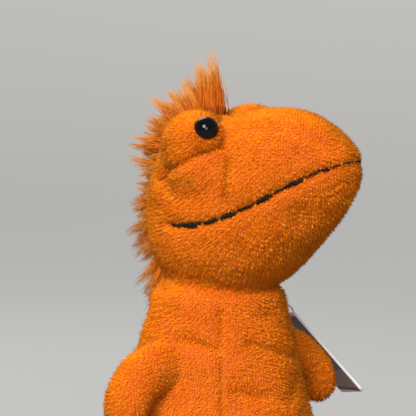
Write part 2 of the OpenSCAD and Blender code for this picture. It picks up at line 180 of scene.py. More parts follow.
def coords(obj):
    co = np.empty(len(obj.data.vertices) * 3, np.float32)
    obj.data.vertices.foreach_get("co", co)
    return co.reshape(-1, 3).astype(float)


def normals(obj):
    no = np.empty(len(obj.data.vertices) * 3, np.float32)
    obj.data.vertices.foreach_get("normal", no)
    return no.reshape(-1, 3).astype(float)


def set_coords(obj, co):
    obj.data.vertices.foreach_set("co", co.astype(np.float32).ravel())
    obj.data.update()


def tree_of(obj):
    mesh = obj.data
    return BVHTree.FromPolygons([v.co for v in mesh.vertices], [p.vertices for p in mesh.polygons])


# %% [markdown]
# ## Stuffed forms
# The head is sewn from four panels, and each limb is a sewn bag; cloth and filling together make
# one soft form. The form could be sculpted from a ball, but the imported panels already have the
# right outside, so copies of them are joined and given one even skin by a voxel remesh. The skin
# is then moved in by the depth of the pile, so that the tips of the pile end up where the packed
# cloth is.
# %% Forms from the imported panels
PILE_DEPTH = 2.4 * MM       # how far the cloth lies below the tips of the pile


def stuffed(name, voxel, *node_names, core=None):
    """The outside of some panels and their filling as one even skin, as deep as the pile's roots."""
    form = merged_copy(name, *node_names)
    if core:
        centre, radius = core
        bpy.ops.mesh.primitive_uv_sphere_add(segments=48, ring_count=24, radius=radius,
                                             location=centre)
        ball = bpy.context.object
        select_only(form, ball)
        bpy.ops.object.join()
    voxel_remesh(form, voxel)
    set_coords(form, coords(form) - normals(form) * PILE_DEPTH)
    select_only(form)
    bpy.ops.object.shade_smooth()
    print(name, len(form.data.polygons), "faces")
    return form


NECK_BALL = Vector(joints["head_nod"]["pos_m"])
NECK_BALL_R = 32 * MM           # ball of stuffing that the head turns on
head = stuffed("head_cover", 3 * MM, "head_side_left", "head_side_right", "head_crown",
               "jaw_panel", "head_filling", core=(NECK_BALL, NECK_BALL_R + 1 * MM))
arm_left = stuffed("arm_left_cover", 2.5 * MM, "arm_skin_left", "arm_filling_left")
arm_right = stuffed("arm_right_cover", 2.5 * MM, "arm_skin_right", "arm_filling_right")
leg_left = stuffed("leg_left_cover", 3.5 * MM, "leg_skin_left", "leg_filling_left")
leg_right = stuffed("leg_right_cover", 3.5 * MM, "leg_skin_right", "leg_filling_right")
tail = stuffed("tail_cover", 3.5 * MM, "tail_skin", "tail_filling")

# %% [markdown]
# ## Torso and neck
# The torso is a pear-shaped bag that runs up into the neck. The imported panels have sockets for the
# limbs, which no cloth has, so this form isn't copied. A sphere is stretched over it instead: the
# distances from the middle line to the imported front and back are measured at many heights, and
# each ring of the sphere is moved there.
# %% Torso and neck form
OUTSIDE = 0.3                   # metres from the middle line, well outside the toy
NECK_LEVELS = (9 * MM, 20 * MM)         # heights above the torso's seam,
NECK_RADII = (35.5 * MM, 33.5 * MM)     # and how wide the slack tube of the neck is there
NECK_LAP = 12 * MM              # height over the ball's middle where the tube closes round it
WIDER = 1.015                   # the torso is a little wider than deep


def reach(node, levels, side):
    """Distance from the middle line to a node's outside, forwards (-1) or backwards (1)."""
    tree = tree_of(nodes[node])
    away = []
    for z in levels:
        start = Vector((AXIS.x + 0.3 * MM, AXIS.y + side * OUTSIDE, z))
        away.append(side * (tree.ray_cast(start, Vector((0, -side, 0)))[0].y - AXIS.y))
    return np.array(away)


def torso_form():
    """The sewn tube of torso and neck as one closed form, without the sockets of the limbs."""
    low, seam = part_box("belly_panel")[0].z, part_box("belly_panel")[1].z
    levels = np.linspace(low + 0.3 * MM, seam - 0.3 * MM, 50)
    front = reach("belly_panel", levels, -1)
    back_levels = np.linspace(low + 0.45 * (seam - low), seam - 10 * MM, 12)
    back = reach("torso_side_left", back_levels, 1)
    offset = (back - np.interp(back_levels, levels, front)) / 2
    slope = (offset[0] - offset[1]) / (back_levels[1] - back_levels[0])

    def middle(z):
        if z < back_levels[0]:
            return offset[0] + slope * (back_levels[0] - z)
        return float(np.interp(z, back_levels, offset))

    def radius(z):
        if z < seam:
            return float(np.interp(z, levels, front)) + middle(z)
        slack = np.interp(z, [seam, seam + NECK_LEVELS[0], seam + NECK_LEVELS[1]],
                          [front[-1], *NECK_RADII])
        on_ball = math.sqrt(max(0, NECK_BALL_R ** 2 - (z - NECK_BALL.z) ** 2))
        return float(slack if z < NECK_BALL.z + NECK_LAP else min(slack, on_ball + 1.5 * MM))

    top = NECK_BALL.z + NECK_BALL_R - 1 * MM
    bpy.ops.mesh.primitive_uv_sphere_add(segments=72, ring_count=80, radius=1)
    form = bpy.context.object
    form.name = "torso_cover"
    for vertex in form.data.vertices:
        share = math.acos(max(-1, min(1, vertex.co.z))) / math.pi
        z = top + (low - top) * (share - 0.07 * math.sin(2 * math.pi * share))
        flat = Vector((vertex.co.x, vertex.co.y, 0))
        r = radius(z) if 0 < share < 1 and flat.length > 1e-5 else 0
        flat = flat.normalized() * r if r else Vector()
        vertex.co = (AXIS.x + flat.x * WIDER, AXIS.y + middle(z) + flat.y, z)
    add_modifier(form, "SMOOTH", factor=0.5, iterations=6)
    set_coords(form, coords(form) - normals(form) * PILE_DEPTH)
    select_only(form)
    bpy.ops.object.shade_smooth()
    return form


torso = torso_form()
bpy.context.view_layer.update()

# %% [markdown]
# ## Lines on the cloth
# Seams and folds are lines on a form. Each one is given by a few points, joined by a smooth curve
# and dropped onto the cloth. To sink a seam, the points near the line are pulled in, most of all
# on the line itself. This is done to the points of the mesh, because a remesh would close a
# groove that is cut before it.
# %% Routes on the cloth
def route(points, step=0.6 * MM):
    """A dense smooth line through given points (Catmull-Rom)."""
    p = np.array([points[0]] + list(points) + [points[-1]], float)
    out = []
    for i in range(1, len(p) - 2):
        count = max(2, int(np.linalg.norm(p[i + 1] - p[i]) / step))
        for u in np.arange(count) / count:
            out.append(0.5 * (2 * p[i] + (p[i + 1] - p[i - 1]) * u
                              + (2 * p[i - 1] - 5 * p[i] + 4 * p[i + 1] - p[i + 2]) * u ** 2
                              + (3 * p[i] - p[i - 1] - 3 * p[i + 1] + p[i + 2]) * u ** 3))
    out.append(p[-2])
    return np.array(out)


def onto(tree, points):
    """The nearest points of a surface."""
    return np.array([tree.find_nearest(Vector(p))[0] for p in points])


def distance_to(points, line):
    """Distance of each point to the nearest point of a dense line."""
    best = np.full(len(points), np.inf)
    for p in line:
        best = np.minimum(best, ((points - p) ** 2).sum(1))
    return np.sqrt(best)


def nearness(points, line, width):
    """1 on a line, and softly less beside it."""
    return np.exp(-(distance_to(points, line) / width) ** 2)


KEEP_RADIUS = 7.5 * MM      # folds stop this far from an eye


def sink(obj, line, depth, width, keep=()):
    """Pulls the cloth in along a line, as a seam or a crease does, but not close to keep."""
    co = coords(obj)
    fall = nearness(co, line, width)
    for spot in keep:
        fall *= 1 - np.exp(-(((co - np.array(spot)) ** 2).sum(1) / KEEP_RADIUS ** 2) ** 2)
    set_coords(obj, co - normals(obj) * (depth * fall)[:, None])


def swell(obj, centre, radius, height):
    """Pushes the cloth out over a round spot."""
    co = coords(obj)
    fall = np.exp(-(((co - np.array(centre)) ** 2).sum(1) / radius ** 2))
    set_coords(obj, co + normals(obj) * (height * fall)[:, None])


# %% [markdown]
# ## Stuffing
# Stuffing pushes the cloth out everywhere except along the seams, which hold it back. Blender's
# Cloth does the same: the seam lines are pinned, an inner pressure swells the panels between
# them, and gravity is off. How far a point may move is capped, so the toy keeps its size.
# %% Stuffing pressure
SIM_FRAMES = 14
PRESSURE = 3.0
SLACK = 0.02            # share by which the cloth may grow
SEAM_HALF = 2.5 * MM    # points this near to a seam are pinned
SEAM_FADE = 4 * MM


def stuff(obj, seam_lines, cap=1.6 * MM):
    """Swells a cover between its seams by a short cloth simulation."""
    start = coords(obj)
    group = obj.vertex_groups.new(name="seams")
    near = np.full(len(start), np.inf)
    for line in seam_lines:
        near = np.minimum(near, distance_to(start, line))
    for index in (near < SEAM_HALF).nonzero()[0]:
        group.add([int(index)], 1.0, "REPLACE")
    cloth = obj.modifiers.new("Cloth", "CLOTH")
    cloth.settings.vertex_group_mass = "seams"
    cloth.settings.use_pressure = True
    cloth.settings.uniform_pressure_force = PRESSURE
    cloth.settings.shrink_min = -SLACK
    cloth.settings.quality = 4
    cloth.settings.mass = 0.3
    cloth.settings.bending_stiffness = 0.3
    cloth.settings.effector_weights.gravity = 0
    cloth.collision_settings.use_collision = False
    cloth.point_cache.frame_end = SIM_FRAMES
    for moment in range(1, SIM_FRAMES + 1):
        scene.frame_set(moment)
    swollen = obj.evaluated_get(bpy.context.evaluated_depsgraph_get())
    end = np.empty(len(start) * 3, np.float32)
    swollen.data.vertices.foreach_get("co", end)
    move = end.reshape(-1, 3) - start
    size = np.linalg.norm(move, axis=1)
    obj.modifiers.remove(cloth)
    obj.vertex_groups.remove(group)
    scene.frame_set(1)
    share = np.minimum(1, cap / np.maximum(size, 1e-9))
    move *= (share * (1 - np.exp(-(near / SEAM_FADE) ** 2)))[:, None]
    set_coords(obj, start + move)
    print(obj.name, "swells by up to", round(float(np.linalg.norm(move, axis=1).max() / MM), 2), "mm")


# %% [markdown]
# ## Seams and creases
# The face has a seam that becomes the mouth, a fold from cheek to brow, a valley between bump and
# snout, and a dart under the eye. The torso has two belly seams and one down the back. Filling is
# never even, so a few soft creases run round the chest. Seams are set before the stuffing, which
# they hold back, and sunk after it.
# %% Lines of the head
def on_cheek(points, side):
    """A line on a cheek, from points forward, outward and up in millimetres."""
    return route([head_point(f, side * out, h) for f, out, h in points])


MOUTH = [(-8, 39, 237), (5, 40, 237.5), (18, 39, 240), (30, 37, 244.5), (42, 33, 250.5),
         (54, 28, 257.5), (64, 22, 263), (72, 14, 267), (77, 6, 269), (78, 0, 269.5)]
BROW_FOLD = [(-24, 38, 261), (-10, 42, 263.5), (4, 43, 268), (16, 41, 274), (25, 37, 280)]
BUMP_VALLEY = [(8, 7, 293), (12, 15, 291), (17, 24, 288), (22, 31, 284), (26, 35, 280)]
DART = [(27, 36, 277), (27, 38, 270), (26, 39, 262), (26, 39, 250)]

# %% Lines of the torso
BELLY_SEAMS = (230, 310)        # directions of the two belly seams, in degrees from +X
BACK_SEAM = 90


def on_torso(turns, heights):
    """A line on the torso through directions in degrees and heights in millimetres."""
    out = []
    for turn, height in zip(turns, heights):
        way = Vector((math.cos(math.radians(turn)), math.sin(math.radians(turn)), 0))
        hit = torso_tree.ray_cast(AXIS + way * 0.2 + UP * height * MM, -way)[0]
        out.append(hit)
    return onto(torso_tree, route(out))


head_tree = tree_of(head)
torso_tree = tree_of(torso)
mouth_lines = {}
head_seams = []
for side in (-1, 1):
    mouth_lines[side] = onto(head_tree, on_cheek(MOUTH, side))
    head_seams += [mouth_lines[side]] + [onto(head_tree, on_cheek(line, side))
                                         for line in (BROW_FOLD, BUMP_VALLEY, DART)]
seam_heights = (52, 75, 100, 125, 150, 175, 195)
belly_seams = [on_torso([turn] * len(seam_heights), seam_heights) for turn in BELLY_SEAMS]
back_seam = on_torso([BACK_SEAM] * len(seam_heights), seam_heights)

# %% Stuff the forms
stuff(head, head_seams)
stuff(torso, belly_seams + [back_seam])
for obj in (arm_left, arm_right, leg_left, leg_right, tail):
    stuff(obj, [], cap=1.2 * MM)
for obj in (head, arm_left, arm_right, leg_left, leg_right, tail, torso):
    add_modifier(obj, "SUBSURF", levels=1, render_levels=1)

# %% Fuller and flatter places, then folds
# Point on the head, radius and height in millimetres: nose, chin, and the fuller left bump
MIDDLE_SHAPE = [((80, 0, 276), 20, -3.5), ((58, 0, 222), 30, -3.5), ((14, 27, 293), 12, 3.0)]
# The same on both sides: behind the eye, cheek, and side of the snout
SIDE_SHAPE = [((-2, 33, 280), 15, 1.6), ((14, 42, 258), 12, 1.2), ((48, 30, 268), 16, 1.0)]
for point, radius, height in MIDDLE_SHAPE:
    swell(head, head_point(*point), radius * MM, height * MM)
for side in (-1, 1):
    for (forward, out, up), radius, height in SIDE_SHAPE:
        swell(head, head_point(forward, side * out, up), radius * MM, height * MM)
eye_spots = [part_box(eye)[0].lerp(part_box(eye)[1], 0.5) for eye in ("eye_left", "eye_right")]
FOLDS = ((2.2, 2.6), (3.2, 2.3), (3.2, 4.8), (4.0, 1.9))     # mouth, brow, valley, dart
for number, line in enumerate(head_seams):
    depth, width = FOLDS[number % len(FOLDS)]
    sink(head, line, depth * MM, width * MM, keep=eye_spots)
# The cloth stands up round each eye, and most above and below it, like lids
for spot in eye_spots:
    swell(head, spot, 8 * MM, 1.2 * MM)
    swell(head, spot + 7 * MM * UP, 4.5 * MM, 1.3 * MM)
    swell(head, spot - 6 * MM * UP - 4 * MM * HEAD_FRONT, 4.5 * MM, 1.3 * MM)
for line in belly_seams + [back_seam]:
    sink(torso, line, 2.4 * MM, 1.6 * MM)
# Creases of the torso: directions in degrees, and heights
CREASES = (((197, 209, 226), (181, 180.5, 178)), ((253, 275, 304), (180, 175, 169)),
           ((236, 256, 280), (157, 155, 150)), ((318, 330), (176, 172)))
for turns, heights in CREASES:
    sink(torso, on_torso(turns, heights), 2.8 * MM, 2.8 * MM)
head_tree = tree_of(head)
torso_tree = tree_of(torso)
print("head and torso creased")

# %% [markdown]
# ## Finishes
# A finish is a material with nodes. Its sums are written as plain Python: a small class wraps a
# socket and gives it the usual signs, so that `1 - grain * 0.4` adds the Math nodes itself. What
# is the same all over a surface is set on the shader's own sockets and isn't linked.
# %% Shader sums
class Wire:
    """One value inside a finish; sums on it add Math nodes."""

    def __init__(self, finish, socket):
        self.finish = finish
        self.socket = socket

    def sum(self, operation, first, second):
        return self.finish.node("ShaderNodeMath", {0: first, 1: second}, operation=operation)

    def __add__(self, other):
        return self.sum("ADD", self, other)

    __radd__ = __add__

    def __sub__(self, other):
        return self.sum("SUBTRACT", self, other)

    def __rsub__(self, other):
        return self.sum("SUBTRACT", other, self)

    def __mul__(self, other):
        return self.sum("MULTIPLY", self, other)

    def __gt__(self, other):
        return self.sum("GREATER_THAN", self, other)

    def __lt__(self, other):
        return self.sum("LESS_THAN", self, other)


class Finish:
    """A material and the few steps that every finish here is made of."""

    def __init__(self, name, colour, roughness, **sockets):
        self.material = bpy.data.materials.new(name)
        self.material.use_nodes = True
        self.tree = self.material.node_tree
        self.shader = self.tree.nodes["Principled BSDF"]
        self.set("Base Color", (*colour, 1))
        self.set("Roughness", roughness)
        for socket, value in sockets.items():
            self.set(socket.replace("_", " "), value)

    def set(self, socket, value):
        """Gives a socket of the shader its value or its link."""
        self.feed(self.shader.inputs[socket], value)

    def feed(self, socket, value):
        if isinstance(value, Wire):
            self.tree.links.new(value.socket, socket)
        else:
            socket.default_value = value

    def node(self, kind, sockets=None, output=0, **settings):
        """Any node: its settings first, then the values or links of its sockets."""
        node = self.tree.nodes.new(kind)
        for setting, value in settings.items():
            setattr(node, setting, value)
        for socket, value in (sockets or {}).items():
            self.feed(node.inputs[socket], value)
        return Wire(self, node.outputs[output])

    def place(self):
        return self.node("ShaderNodeTexCoord", output="Object")

    def noise(self, size, detail=3.0):
        """Soft noise whose lumps are about the given size."""
        return self.node("ShaderNodeTexNoise", {"Vector": self.place(), "Scale": 1 / size,
                                                "Detail": detail})

    def cells(self, size):
        """Distance from the nearest of many scattered points."""
        return self.node("ShaderNodeTexVoronoi", {"Vector": self.place(), "Scale": 1 / size})

    def bands(self, size, direction):
        """Straight waves across the X, Y or Z direction."""
        return self.node("ShaderNodeTexWave", {"Vector": self.place(), "Scale": 1 / size},
                         bands_direction=direction)

    def along(self, direction):
        """Distance in metres along a direction."""
        return self.node("ShaderNodeVectorMath", {0: self.place(), 1: tuple(direction)},
                         operation="DOT_PRODUCT", output="Value")

    def between(self, value, low, high):
        """Stretches a value from low..high to 0..1, and holds it there."""
        return self.node("ShaderNodeMapRange", {"Value": value, "From Min": low, "From Max": high})

    def mix(self, share, first, second):
        """A colour between two colours."""
        first = (*first, 1) if isinstance(first, tuple) else first
        second = (*second, 1) if isinstance(second, tuple) else second
        return self.node("ShaderNodeMix", {0: share, 6: first, 7: second}, output=2,
                         data_type="RGBA")

    def bump(self, height, depth):
        """Small relief of the given depth in metres."""
        self.set("Normal", self.node("ShaderNodeBump", {"Height": height, "Distance": depth,
                                                        "Strength": 1.0}))
        return self.material


# %% [markdown]
# ## Backing cloth
# Under the pile lies a knitted backing. It only shows where the pile parts, so it is painted a deep
# orange for the shade there, with patches. Small cells stand for the feet of the tufts, and the
# cloth between them is painted darker, as shade in those hollows.
# %% Backing cloth
def plush_backing():
    finish = Finish("plush_backing", (0.45, 0.085, 0.006), 0.9)
    patches = finish.between(finish.noise(6 * MM), 0.35, 0.65)
    feet = finish.between(finish.cells(0.9 * MM), 0.1, 0.7)
    # Painted shade: a deep ground for the shade under the pile, patches at random, and darker still
    # between the feet of the tufts
    ground = finish.mix(patches, (0.58, 0.110, 0.003), (0.72, 0.155, 0.005))
    finish.set("Base Color", finish.mix(feet * 0.5, ground, (0.46, 0.080, 0.002)))
    return finish.bump(1 - feet, 0.4 * MM)


backing = plush_backing()

# %% [markdown]
# ## Short plush
# The pile is some thousands of short fibres that cling together in small tufts. Fibres one by one
# would be far too many, so each tuft is one slim closed spike of four triangles. Spikes lean with
# the nap, and they also lean towards the middle of their clump, which leaves darker gaps between
# clumps. Each spike has one of four shades, which differ partly at random and partly as painted
# light and shade: the long ones in the middle of a clump are painted pale as if lit, and the short
# ones in the gaps, and those along seams and folds, are painted deep as if shaded. A plain shade is
# used, because a pattern baked on faces this small would be scrambled.
# %% Four shades of plush
PLUSH_SHADES = {
    "plush_deep": (0.61, 0.122, 0.002),
    "plush_mid": (0.82, 0.190, 0.004),
    "plush_bright": (0.91, 0.250, 0.008),
    "plush_pale": (0.96, 0.335, 0.022),
}
plush = [Finish(name, colour, 0.85, Specular_IOR_Level=0.04, Sheen_Weight=0.08,
                Sheen_Roughness=0.45, Sheen_Tint=(1.0, 0.5, 0.15, 1)).material
         for name, colour in PLUSH_SHADES.items()]


# %% Clumps
def unit(vectors):
    return vectors / np.maximum(np.linalg.norm(vectors, axis=1), 1e-9)[:, None]


def clumps(points, size, seed):
    """A wavy field: its height is high in the middle of clumps, its slope points there."""
    rng = np.random.default_rng(seed)
    waves = 9
    height = np.zeros(len(points))
    slope = np.zeros((len(points), 3))
    for _ in range(waves):
        wave = rng.normal(size=3)
        wave *= 2 * math.pi / (size * np.linalg.norm(wave)) * rng.uniform(0.7, 1.4)
        phase = points @ wave + rng.uniform(0, 2 * math.pi)
        height += np.sin(phase)
        slope += np.cos(phase)[:, None] * wave * size / (2 * math.pi)
    spread = math.sqrt(waves / 2)
    return height / spread, slope / spread


# %% Places for tufts
def scatter(cover, per_mm2, seed):
    """Random places all over a cover, and the directions that point out of it there."""
    rng = np.random.default_rng(seed)
    mesh = cover.data
    mesh.calc_loop_triangles()
    corners = np.empty(len(mesh.loop_triangles) * 3, np.int32)
    mesh.loop_triangles.foreach_get("vertices", corners)
    corners = corners.reshape(-1, 3)
    co, no = coords(cover), normals(cover)
    a, b, c = (co[corners[:, k]] for k in range(3))
    area = np.linalg.norm(np.cross(b - a, c - a), axis=1) / 2
    count = int(area.sum() / MM ** 2 * per_mm2)
    pick = np.searchsorted(np.cumsum(area) / area.sum(), rng.random(count))
    pick = np.minimum(pick, len(corners) - 1)
    share = rng.dirichlet((1, 1, 1), count)
    points = sum(co[corners[pick, k]] * share[:, k:k + 1] for k in range(3))
    outward = sum(no[corners[pick, k]] * share[:, k:k + 1] for k in range(3))
    return points, unit(outward)


def buried(points, tree, box, depth):
    """Which points lie deeper than depth inside another cover."""
    low, high = box
    inside = np.zeros(len(points), bool)
    for i in np.all((points > low) & (points < high), axis=1).nonzero()[0]:
        spot, outward, _, gap = tree.find_nearest(Vector(points[i]))
        inside[i] = outward.dot(Vector(points[i]) - spot) < 0 and gap > depth
    return inside


# %% Mesh from arrays
def mesh_piece(name, points, faces, slots, materials):
    """A mesh object from arrays: points, triangles, and each triangle's material slot."""
    mesh = bpy.data.meshes.new(name)
    mesh.vertices.add(len(points))
    mesh.vertices.foreach_set("co", points.astype(np.float32).ravel())
    mesh.loops.add(len(faces) * 3)
    mesh.loops.foreach_set("vertex_index", faces.astype(np.int32).ravel())
    mesh.polygons.add(len(faces))
    mesh.polygons.foreach_set("loop_start", np.arange(0, len(faces) * 3, 3, dtype=np.int32))
    mesh.polygons.foreach_set("loop_total", np.full(len(faces), 3, np.int32))
    mesh.polygons.foreach_set("material_index", slots.astype(np.int32))
    mesh.polygons.foreach_set("use_smooth", np.ones(len(faces), bool))
    mesh.update(calc_edges=True)
    for material in materials:
        mesh.materials.append(material)
    piece = bpy.data.objects.new(name, mesh)
    scene.collection.objects.link(piece)
    return piece


# %% Growing the plush
TUFT_LENGTH = 2.6 * MM
TUFT_WIDTH = 0.54 * MM
CLUMP_SIZE = 1.8 * MM
TUFTS_PER_PIECE = 49000


def grow(name, roots, outward, nap, length, width, seed, shade, painted_clump_shade):
    """Closed three-sided spikes that lean with the nap and towards the middle of their clump."""
    rng = np.random.default_rng(seed)
    count = len(roots)
    along = unit(nap - outward * (nap * outward).sum(1)[:, None])
    height, slope = clumps(roots, CLUMP_SIZE, 11)
    broad, drift = clumps(roots, 15 * MM, 12)
    way = unit(outward + 0.50 * along + 0.40 * slope + 0.14 * drift
               + rng.normal(scale=0.14, size=(count, 3)))
    side = unit(np.cross(way, rng.normal(size=(count, 3))))
    other = np.cross(way, side)
    size = length * (1 + 0.13 * height + 0.12 * rng.normal(size=count)).clip(0.55, 1.45)
    r = width / 2 * rng.uniform(0.8, 1.25, size=count)
    points = np.empty((count, 4, 3))
    foot = roots - outward * 0.5 * MM
    for k in range(3):
        turn = 2 * math.pi * k / 3
        points[:, k] = foot + (side * math.cos(turn) + other * math.sin(turn)) * r[:, None]
    points[:, 3] = foot + way * size[:, None]
    faces = np.array([[0, 2, 1], [0, 1, 3], [1, 2, 3], [2, 0, 3]])
    faces = (np.arange(count)[:, None, None] * 4 + faces).reshape(-1, 3)
    # Painted light and shade: pale for spikes in the middle of a clump, deep for those in the gaps
    # and along seams and folds; the broad field and the noise are random tone
    tone = 1.6 + shade + painted_clump_shade * height + 0.15 * broad + rng.normal(scale=0.38, size=count)
    tone = np.clip(np.round(tone), 0, 3)
    return mesh_piece(name, points.reshape(-1, 3), faces, np.repeat(tone, 4), plush)


# %% Where the plush grows
def box_of(obj):
    co = coords(obj)
    return co.min(0), co.max(0)


covers = {"head": head, "torso": torso, "arm_left": arm_left, "arm_right": arm_right,
          "leg_left": leg_left, "leg_right": leg_right, "tail": tail}
trees = {name: tree_of(obj) for name, obj in covers.items()}
boxes = {name: box_of(obj) for name, obj in covers.items()}
# Covers whose inside hides a cover's pile, and tufts per square millimetre
touching = {"torso": ["head", "arm_left", "arm_right", "leg_left", "leg_right", "tail"]}
density = {"head": 4.7, "torso": 2.7, "arm_left": 4.0, "arm_right": 4.0, "leg_left": 1.9,
           "leg_right": 1.9, "tail": 1.9}
NAP = {"head": -0.9 * UP - 0.25 * HEAD_FRONT, "tail": Vector((0, 1, -0.3))}
# Strength of the painted light and shade between clumps, on the head and elsewhere
PAINTED_CLUMP_SHADE = {"head": 0.43}         # how much shades differ between clumps, and elsewhere
PLAIN_PAINTED_CLUMP_SHADE = 0.28
HIDDEN_DEPTH = 3.5 * MM         # no pile grows this deep inside another form,
SOLE_LEVEL = 1.5 * MM           # or this low,
THREAD_HALF = 1.1 * MM          # or under the thread of the mouth,
EYE_BARE = 4.6 * MM             # or under an eye
EYE_RUFF = 6.0 * MM             # tufts are longest this far from the middle of an eye
SHANK_DEPTH = 14 * MM
FAR_OFF = 50 * MM
eye_ways = []
for eye, spot in zip(("left", "right"), eye_spots):
    low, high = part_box(f"eye_washer_{eye}")
    eye_ways.append((spot - low.lerp(high, 0.5)).normalized())


def from_eye(points, eye):
    """Distance of points from the middle line of an eye's shank."""
    away = points - np.array(eye_spots[eye])
    way = np.array(eye_ways[eye])
    depth = away @ way
    ring = np.linalg.norm(away - depth[:, None] * way, axis=1)
    return np.where(depth > -SHANK_DEPTH, ring, FAR_OFF)


piles = {}
for seed, (name, cover) in enumerate(covers.items()):
    roots, outward = scatter(cover, density[name], 100 + seed)
    drop = roots[:, 2] < SOLE_LEVEL
    for other in touching.get(name, ["torso"]):
        drop |= buried(roots, trees[other], boxes[other], HIDDEN_DEPTH)
    length = np.full(len(roots), TUFT_LENGTH)
    shade = np.zeros(len(roots))
    nap = np.tile(np.array(NAP.get(name, -UP)), (len(roots), 1))
    if name == "head":
        # Painted shade: spikes along the head's seams and folds get deeper shades, and are shorter
        for line in head_seams:
            on_seam = nearness(roots, line, 1.5 * MM)
            length *= 1 - 0.45 * on_seam
            shade -= 1.5 * on_seam
        for line in mouth_lines.values():
            drop |= distance_to(roots, line) < THREAD_HALF
        for eye in range(2):
            gap = from_eye(roots, eye)
            drop |= gap < EYE_BARE
            length *= 1 + 0.75 * np.exp(-((gap - EYE_RUFF) / (1.6 * MM)) ** 2)
    if name == "torso":
        # Painted shade: spikes along the torso's seams get deeper shades, and are shorter
        for line in belly_seams + [back_seam]:
            length *= 1 - 0.50 * nearness(roots, line, 1.3 * MM)
            shade -= 1.8 * nearness(roots, line, 1.2 * MM)
    width = TUFT_WIDTH * min(1.3, math.sqrt(density["head"] / density[name]))
    keep = (~drop).nonzero()[0]
    parts = max(1, math.ceil(len(keep) / TUFTS_PER_PIECE))
    order = keep[np.argsort(roots[keep] @ np.array(HEAD_LEFT), kind="stable")]
    for part, chosen in enumerate(np.array_split(order, parts)):
        label = f"{name}_pile" + (f"_{part + 1}" if parts > 1 else "")
        piles[label] = (grow(label, roots[chosen], outward[chosen], nap[chosen], length[chosen],
                             width, 200 + 10 * seed + part, shade[chosen],
                             PAINTED_CLUMP_SHADE.get(name, PLAIN_PAINTED_CLUMP_SHADE)), name)
        print(label, len(chosen), "tufts")

# %% [markdown]
# ## Mane
# The mane is a strip of long-haired fur. Its hair stands in pointed locks, thick at the root and
# wispy at the tip. Each lock is a bundle of thin three-sided hairs that start side by side and
# draw together. A packed fin stands for the mane: where it can, a lock takes its length from the
# way out of that fin. On top of the head the length is set instead, longest in front, and the
# lowest locks of the head are longer and hang.
# %% Four shades of mane
# Four shades of hair, from the root's, which is painted shade inside the lock, to the tip's
MANE_SHADES = {
    "mane_root": (0.48, 0.090, 0.004),
    "mane_body": (0.65, 0.145, 0.007),
    "mane_light": (0.74, 0.225, 0.018),
    "mane_tip": (0.78, 0.320, 0.060),
}
mane_materials = [Finish(name, colour, 0.65, Specular_IOR_Level=0.1, Sheen_Weight=0.05,
                         Sheen_Roughness=0.4, Sheen_Tint=(1.0, 0.6, 0.25, 1)).material
                  for name, colour in MANE_SHADES.items()]
HAIRS = 33                      # in a lock
HAIR_STEPS = 5                  # points along a hair
HAIR_RADIUS = 0.34 * MM
LOCK_SPREAD = 1.8 * MM          # how far apart the hairs of a lock start
THIRDS = (0, 2.094, 4.189)      # of a turn
MANE_HALF = 6.5 * MM            # half the width of the strip
ROOT_GAP = 4.6 * MM             # roots lie this close to the fin
FRONT_END = -0.5 * MM           # where the strip stops, ahead of the neck's middle line
BEYOND_FIN = 0.08               # metres from a root, outside the fin
CROWN = 0.270                   # heights in metres: top of the head,
NAPE = 0.255                    # where locks start to lie down,
HANG = 0.238                    # and where they start to hang


def mane_roots(name, node, cover, fin, locks, seed):
    """Evenly spread roots on a cover under a fin: each next one is farthest from those before."""
    roots, outward = scatter(cover, 3.0, seed)
    low, high = np.array(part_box(node)[0]), np.array(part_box(node)[1])
    near = np.all((roots > low - 6 * MM) & (roots < high + 6 * MM), axis=1)
    roots, outward = roots[near], outward[near]
    gap = np.array([fin.find_nearest(Vector(p))[3] for p in roots])
    side_way = np.array(HEAD_LEFT if name == "head_mane_hair" else Vector((1, 0, 0)))
    off = np.abs((roots - np.array(AXIS)) @ side_way)
    ahead = (roots - np.array(AXIS)) @ np.array(HEAD_FRONT)
    fit = (gap < ROOT_GAP) & (off < MANE_HALF) & (outward[:, 2] > -0.9) & (ahead < FRONT_END)
    roots, outward = roots[fit], outward[fit]
    chosen = [0]
    lonely = ((roots - roots[0]) ** 2).sum(1)
    for _ in range(min(locks, len(roots)) - 1):
        chosen.append(int(lonely.argmax()))
        lonely = np.minimum(lonely, ((roots - roots[chosen[-1]]) ** 2).sum(1))
    return roots[chosen], outward[chosen]


